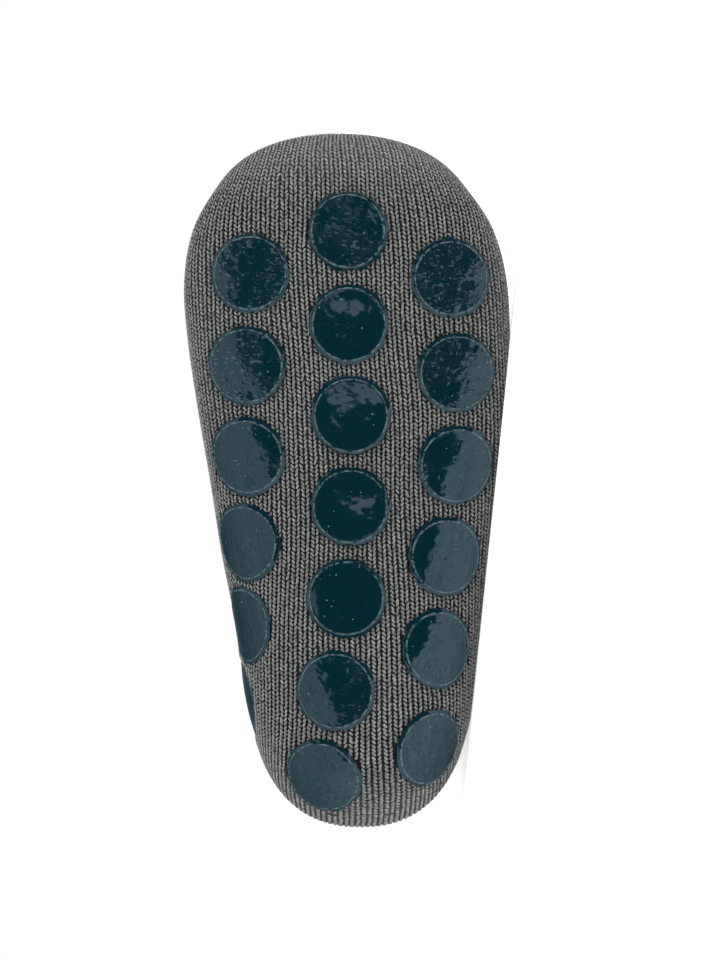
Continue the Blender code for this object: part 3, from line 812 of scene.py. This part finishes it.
# A leg of yarn: a closed spindle with few sides and pointed ends, whose middle is bowed out by 1 - t squared
def spindles(centre, across, axis, out, wide, thick, half, bow):
    sides = knit["legSides"]
    own, nextOne = np.arange(sides), (np.arange(sides) + 1) % sides
    t = np.concatenate([[-1], np.full(sides, -0.5), np.full(sides, 0.5), [1]])
    fat = np.where(abs(t) < 1, 1, 0)
    angle = np.concatenate([[0], own, own, [0]]) * 2 * math.pi / sides + math.pi / (2 * sides)
    side = (np.cos(angle) * fat)[None, :, None] * (wide / 2)[:, None, None]
    rise = (np.sin(angle) * fat)[None, :, None] * (thick / 2)[:, None, None]
    arch = (1 - t**2)[None, :, None] * bow[:, None, None]
    points = centre[:, None] + across[:, None] * side + out[:, None] * (rise + arch)
    points = points + axis[:, None] * (t[None, :, None] * half[:, None, None])
    first, second = 1 + own, 1 + sides + own
    afterFirst, afterSecond = 1 + nextOne, 1 + sides + nextOne
    faces = [
        np.stack([np.zeros(sides, int), afterFirst, first], 1),
        np.stack([first, afterFirst, afterSecond], 1),
        np.stack([first, afterSecond, second], 1),
        np.stack([np.full(sides, len(t) - 1), second, afterSecond], 1),
    ]
    faces = np.vstack(faces)[None] + len(t) * np.arange(len(centre))[:, None, None]
    turns = np.broadcast_to(angle / math.pi, (len(centre), len(t)))
    lengths = t[None] * half[:, None] / yarnLook["twist"] + rng.uniform(0, 1, (len(centre), 1))
    return points, faces.reshape(-1, 3), np.stack([turns, lengths], axis=2).reshape(-1, 2)


def yarnPiece(name, groups, *nodes):  # joins groups of spindles into one piece
    points, faces, uv, shade, start = [], [], [], [], 0
    for p, f, t in groups:
        points.append(p.reshape(-1, 3))
        faces.append(f + start)
        uv.append(t)
        tone = 0.5 + knit["shade"] * rng.standard_normal(len(p))
        shade.append(np.repeat(tone, p.shape[1]))
        start += p.shape[0] * p.shape[1]
    place, faces = placed(np.vstack(points)), np.vstack(faces)
    made = makeMesh(name, place, faces, yarn, np.vstack(uv), np.concatenate(shade))
    print(name, len(faces), "triangles")
    return belongs(made, "grey_knit", *nodes)


# One leg of each stitch: lean and length are carried on the wale's own directions
def legs(u, v, form, base, flip=1):
    across, lean, width, long = form
    around, along, out = slopes(u, v)
    axis = unit(along)
    side = np.cross(out, axis)
    wale = abs((around * side).sum(1)) / knit["wales"]
    jitter = rng.normal(0, 1, (3, len(u)))
    centre = skin(u, v) + (base + relief(u, v))[:, None] * out
    centre = centre + side * (across * wale + knit["jitter"] * jitter[0])[:, None]
    centre = centre + axis * (knit["jitter"] * jitter[1])[:, None]
    toward = side * (lean * wale + knit["jitter"] * jitter[2])[:, None] + axis * (long * knit["course"])
    half = np.linalg.norm(toward, axis=1) / 2
    toward = unit(toward)
    close = closeKnit(v)
    wide = width * wale * rng.normal(1, knit["wideVaries"], len(u)) * (1 + knit["closeWide"] * close)
    flatter = 1 + knit["closeThick"] * close
    thick = knit["legThick"] * np.clip(wale / knit["usualWale"], *knit["thickBounds"]) * flatter
    outward = out * flip
    return spindles(
        centre, np.cross(outward, toward), toward, outward, wide, thick, half, knit["bow"] * flatter
    )


# How far the wales sway at u and v: one slow sine wave, which dies out below the cuff
def sway(u, v):
    far, times, slant = knit["sway"]
    wave = np.sin(2 * math.pi * times * u + slant * v)
    return far * wave * (1 - smoothStep(v - cuffStart + 1))


# The print pulls the knit down round each dot, and the stitches well under it are left out
printed = {"dip": 0.28 * mm, "reach": 0.7 * mm, "under": 0.5 * mm}

stitches = stitchPlaces()
stitches[:, 0] += sway(*stitches.T)
spots = skin(stitches[:, 0], stitches[:, 1])
away = np.linalg.norm(spots[:, None] - dotCentres[None], axis=2).min(1) - dots["diameter"] / 2
shown = away > -printed["under"]
stitches, away = stitches[shown], away[shown]
dip = -printed["dip"] * np.exp(-((np.maximum(away, 0) / printed["reach"]) ** 2))
column = np.floor(stitches[:, 0] * sock["columns"] + 0.5).astype(int)
onCuff = stitches[:, 1] >= cuffStart
purl = onCuff & (column % 2 == 1)
print("stitches", len(stitches), "of which purl", purl.sum())

regions = {  # from which v to which
    "knit_toe": (0, 5.2),
    "knit_ball": (5.2, 7.9),
    "knit_waist": (7.9, 10.1),
    "knit_heel": (10.1, 13.2),
    "knit_leg": (13.2, cuffStart),
}
base = dip - knit["sink"]


def bothLegs(chosen, left, right):  # the two legs of each chosen stitch
    u, v = stitches[chosen].T
    return [legs(u, v, knit[form], base[chosen]) for form in (left, right)]


for name, (start, end) in regions.items():
    here = (stitches[:, 1] >= start) & (stitches[:, 1] < end)
    yarnPiece(name, bothLegs(here, "left", "right"), "knit_sock")
groups = bothLegs(onCuff & ~purl, "left", "right") + bothLegs(purl, "purlLeft", "purlRight")
yarnPiece("knit_cuff", groups, "knit_sock")

# The folded rim, and the double cuff's inner face
fold = {"rows": 5, "innerDepth": 13 * mm, "inset": 0.30 * mm}


# Over the rim the legs follow half an ellipse: half the wall wide and the rim's rounding high
def rimLegs():
    u = np.repeat((np.arange(knit["wales"]) + 0.5) / knit["wales"], fold["rows"])
    angle = np.tile((np.arange(fold["rows"]) + 0.5) / fold["rows"] * math.pi, knit["wales"])
    v = np.full(len(u), float(rim))
    around, along, out = slopes(u, v)
    up, side = unit(along), unit(around)
    half = sock["cuffWall"] / 2 - fold["inset"]
    middle = skin(u, v) + (relief(u, v) - sock["cuffWall"] / 2)[:, None] * out
    cos, sin = np.cos(angle)[:, None], np.sin(angle)[:, None]
    outward = unit(sock["rimRounding"] * cos * out + half * sin * up)
    axis = unit(sock["rimRounding"] * cos * up - half * sin * out)
    centre = middle + half * cos * out + (sock["rimRounding"] - fold["inset"]) * sin * up
    wale = np.linalg.norm(around, axis=1) / knit["wales"]
    groups = []
    for across, lean, width, long in (knit["left"], knit["right"]):
        toward = unit(-side * (lean * wale)[:, None] + axis * knit["course"])
        place = centre + side * (across * wale)[:, None]
        length = np.full(len(u), long * knit["course"] / 2)
        thick, bow = np.full(len(u), knit["legThick"]), np.full(len(u), knit["bow"] / 2)
        groups.append(
            spindles(place, np.cross(outward, toward), toward, outward, width * wale, thick, length, bow)
        )
    return groups


inside = onCuff & (stitches[:, 1] > rim - fold["innerDepth"] / sock["cuffHeight"] * (rim - cuffStart))
u, v = stitches[inside].T
deep = np.full(len(u), knit["sink"] - sock["cuffWall"])
ribbed = column[inside] % 2 == 1
groups = rimLegs()
groups += [legs(u[ribbed], v[ribbed], knit[side], deep[ribbed], -1) for side in ("left", "right")]
groups += [legs(u[~ribbed], v[~ribbed], knit[side], deep[~ribbed], -1) for side in ("purlLeft", "purlRight")]
yarnPiece("knit_rim", groups, "knit_sock")

# The lining is the yarn behind the stitches, from the outside over the rim to the inside; its outside is
# coloured as the painted shade of the holes
lining = {
    "columns": 126,
    "rings": 5,  # in each section
    "coursesARow": 9,
    "crownDrop": 0.3 * mm,  # how far it stays under the rim's legs
}


def liningShell():
    v = np.linspace(0, rim, rim * lining["rings"] + 1)
    u = np.arange(lining["columns"]) / lining["columns"]
    v, u = np.meshgrid(v, u, indexing="ij")
    points, out, height = skin(u, v), slopes(u, v)[2], relief(u, v)
    onCuffShare = smoothStep((v - cuffStart) / sock["stepRun"] + 1)
    wall = sock["wall"] + onCuffShare * (sock["cuffWall"] - sock["wall"])
    close = closeKnit(v)
    depth = knit["liningDepth"] + close * (knit["closeDepth"] - knit["liningDepth"])
    outer = points + (height - depth)[..., None] * out
    inner = points + (height - wall)[..., None] * out
    crown = (outer[-1] + inner[-1]) / 2 + np.array([0, 0, sock["rimRounding"] - lining["crownDrop"]])
    rows, columns = v.shape
    everything = np.concatenate([outer, crown[None], inner[::-1]])
    count = len(everything)
    own, nextOne = np.arange(columns), (np.arange(columns) + 1) % columns
    start = (np.arange(count - 1) * columns)[:, None]
    a, b = start + own, start + nextOne
    quads = np.stack([a, a + columns, b + columns, b], axis=-1).reshape(-1, 4)
    courses = np.concatenate([v[:, 0], [rim], v[::-1, 0]]) * lining["coursesARow"]
    uv = np.stack(np.broadcast_arrays(u[0][None] * knit["wales"], courses[:, None]), axis=-1).reshape(-1, 2)
    # the painted shade of the holes is lifted toward the loops' colour at the close knit and beside the sole
    tone, start, end = knit["sideHoleShadeLift"]
    besideSole = smoothStep((np.minimum(u, 1 - u) - start) / (end - start))
    holeShadeLift = np.maximum(close * knit["closeHoleShadeLift"], besideSole * tone)
    shade = np.concatenate([holeShadeLift.ravel(), np.ones((rows + 1) * columns)])
    made = makeMesh("sock_lining", placed(everything), quads, back, uv, shade)
    return belongs(made, "grey_knit", "knit_sock")


liningShell()
print("lining done")

# The toe seam is linking stitches over the joined edges, across the top of the toe
seam = {
    "width": 2.2 * mm,
    "height": 0.9 * mm,
    "pitch": 1.0 * mm,
    "endRoom": 1.0 * mm,
    "lift": 0.4,  # share of its height at which the legs' centres lie
    "lean": 0.35,
    "yarn": (0.55 * mm, 0.5 * mm),  # width and thickness of a leg
    "bow": 0.45 * mm,
    "ends": 0.45,  # share of the width at the ends
}


# The legs cross as they go over the seam, which spans a quarter of the girth each way from its middle. Its
# width falls off as the root of 1 - t to the sixth
def toeSeam():
    halfWidth = sections[0, 5]
    reach = 0.25 * (1 - seam["endRoom"] / halfWidth)
    count = int(2 * halfWidth / seam["pitch"])
    u = np.linspace(-reach, reach, count)
    path, out = skin(u, np.zeros(count)), slopes(u, np.zeros(count))[2]
    forward = unit(np.gradient(path, axis=0))
    side = np.cross(out, forward)
    taper = np.maximum(np.sqrt(1 - np.linspace(-1, 1, count) ** 6), seam["ends"])
    middle = path + out * (seam["height"] * seam["lift"])
    wide, thick, bow = (np.full(count, size) for size in (*seam["yarn"], seam["bow"]))
    half = seam["width"] / 2 * taper
    groups = []
    for lean in (-seam["lean"], seam["lean"]):
        axis = unit(side + lean * forward)
        groups.append(spindles(middle, np.cross(out, axis), axis, out, wide, thick, half, bow))
    return yarnPiece("toe_seam_stitches", groups, "toe_seam")


toeSeam()

# Floor, light and camera
studio = {
    "floor": 3.0,
    "floorDrop": 0.05 * mm,
    "floorColour": "#f8f8f7",
    "floorGlow": 0.65,
    "floorRoughness": 0.9,
    "camera": 3.0,
    "sensor": 36,
    "frameHeight": 0.200,
    "target": (72.7 * mm, 1.46 * mm, 0.0),
    "sky": 1.02,
    # what the gloss sees, as levels: between which values of a direction, and the strength there
    "walls": (-0.885, -0.85, 0.01, 1.75),  # a dark room behind the camera, then pale walls, by y
    "wallsToe": 0.9,  # how much further the dark reaches on the toe's side
    "wallsFar": (-0.35, 0.7, 1.0, 0.12),  # they fade beyond the sock, by y
    "wallsAbove": (0.0, 0.5, 1.0, 0.72),  # and above it, by z
    "wallsUneven": (0.35, 0.65, 0.64, 1.30),
    "wallsGrain": 26.0,
    "wallsTint": (0.62, 0.84, 0.97, 1.0),
    "lights": (
        # name, place, size, watts, colour, whether the gloss sees it
        ("key", (0.7, -0.6, 1.3), (0.9, 0.9), 14, (1.0, 1.0, 1.0), False),
        ("panel", (0.227, -2.4, 0.07), (0.16, 0.46), 0.36, (0.70, 0.86, 1.0), True),
    ),
    "aim": (0, 0, 0.03),
}


# Matt white paper, lit from behind as on a light table, so that shadows on it stay faint
def makeFloor():
    half = studio["floor"]
    points = np.array([(-half, -half, 0), (half, -half, 0), (half, half, 0), (-half, half, 0)], float)
    points[:, 2] = -studio["floorDrop"]
    material, tree, shader = newMaterial("matt white paper")
    shader.inputs["Base Color"].default_value = linear(studio["floorColour"])
    shader.inputs["Roughness"].default_value = studio["floorRoughness"]
    shader.inputs["Emission Color"].default_value = linear(studio["floorColour"])
    shader.inputs["Emission Strength"].default_value = studio["floorGlow"]
    made = makeMesh("floor", points, [[0, 1, 2, 3]], material)
    made.visible_glossy = False  # the dots' gloss looks past it, as under a lens hung over a table


# The camera looks at the sole along the foot's own upright, with the toe up in the picture
def makeCamera():
    data = bpy.data.cameras.new("camera")
    data.sensor_width = studio["sensor"]
    data.lens = studio["sensor"] * studio["camera"] / studio["frameHeight"]
    data.clip_start, data.clip_end = 0.1, 20
    made = bpy.data.objects.new("camera", data)
    bpy.context.scene.collection.objects.link(made)
    x, y, z = studio["target"]
    place = np.array([x, y, z - studio["camera"]]) @ turn.T + shift
    # camera axes in the part: right is +y, up is +x, and the camera looks along +z, so its own z is -z
    axes = np.array([[0, 1, 0], [1, 0, 0], [0, 0, -1]]) @ turn.T
    matrix = np.eye(4)
    matrix[:3, :3], matrix[:3, 3] = axes.T, place
    made.matrix_world = Matrix(matrix.tolist())
    bpy.context.scene.camera = made
    print("camera at", np.round(place, 4).tolist())


def areaLight(name, place, size, power, colour, inGloss):
    data = bpy.data.lights.new(name, "AREA")
    data.shape = "RECTANGLE"
    data.size, data.size_y = size
    data.energy = power
    data.color = colour
    made = bpy.data.objects.new(name, data)
    made.location = place
    made.rotation_mode = "QUATERNION"
    made.rotation_quaternion = (Vector(studio["aim"]) - Vector(place)).to_track_quat("-Z", "Y")
    bpy.context.scene.collection.objects.link(made)
    made.visible_camera = False
    made.visible_glossy = inGloss


# White round the object and for the camera. For the gloss it is a dark room behind the camera, between pale
# walls with a sharp edge
def makeWorld():
    world = bpy.data.worlds.new("studio")
    world.use_nodes = True
    bpy.context.scene.world = world
    tree = world.node_tree
    tree.nodes.clear()
    place = addNode(tree, "ShaderNodeTexCoord").outputs["Generated"]
    x, y, z = addNode(tree, "ShaderNodeSeparateXYZ", {"Vector": place}).outputs
    toeward = addNode(tree, "ShaderNodeMath", (x, 0.0), operation="MAXIMUM").outputs[0]
    further = addNode(tree, "ShaderNodeMath", (toeward, studio["wallsToe"]), operation="MULTIPLY").outputs[0]
    side = addNode(tree, "ShaderNodeMath", (y, further), operation="SUBTRACT").outputs[0]
    grain = addNode(
        tree, "ShaderNodeTexNoise", {"Vector": place, "Scale": studio["wallsGrain"], "Detail": 2.0}
    ).outputs["Fac"]
    walls = addNode(
        tree, "ShaderNodeMapRange", (side, *studio["walls"]), interpolation_type="SMOOTHSTEP"
    ).outputs[0]
    for level, source in (("wallsUneven", grain), ("wallsFar", y), ("wallsAbove", z)):
        share = addNode(tree, "ShaderNodeMapRange", (source, *studio[level])).outputs[0]
        walls = addNode(tree, "ShaderNodeMath", (walls, share), operation="MULTIPLY").outputs[0]
    rays = addNode(tree, "ShaderNodeLightPath").outputs
    glossy = addNode(
        tree, "ShaderNodeMix", {0: rays["Is Glossy Ray"], 2: studio["sky"], 3: walls}, data_type="FLOAT"
    ).outputs[0]
    seen = addNode(
        tree, "ShaderNodeMix", {0: rays["Is Camera Ray"], 2: glossy, 3: 1.0}, data_type="FLOAT"
    ).outputs[0]
    tint = addNode(
        tree,
        "ShaderNodeMix",
        {0: rays["Is Glossy Ray"], 6: (1, 1, 1, 1), 7: studio["wallsTint"]},
        data_type="RGBA",
    ).outputs[2]
    sky = addNode(tree, "ShaderNodeBackground", {"Color": tint, "Strength": seen}).outputs[0]
    addNode(tree, "ShaderNodeOutputWorld", {"Surface": sky})


makeFloor()
makeCamera()
makeWorld()
for light in studio["lights"]:
    areaLight(*light)
bpy.context.scene.view_settings.view_transform = "Standard"
print("studio done")
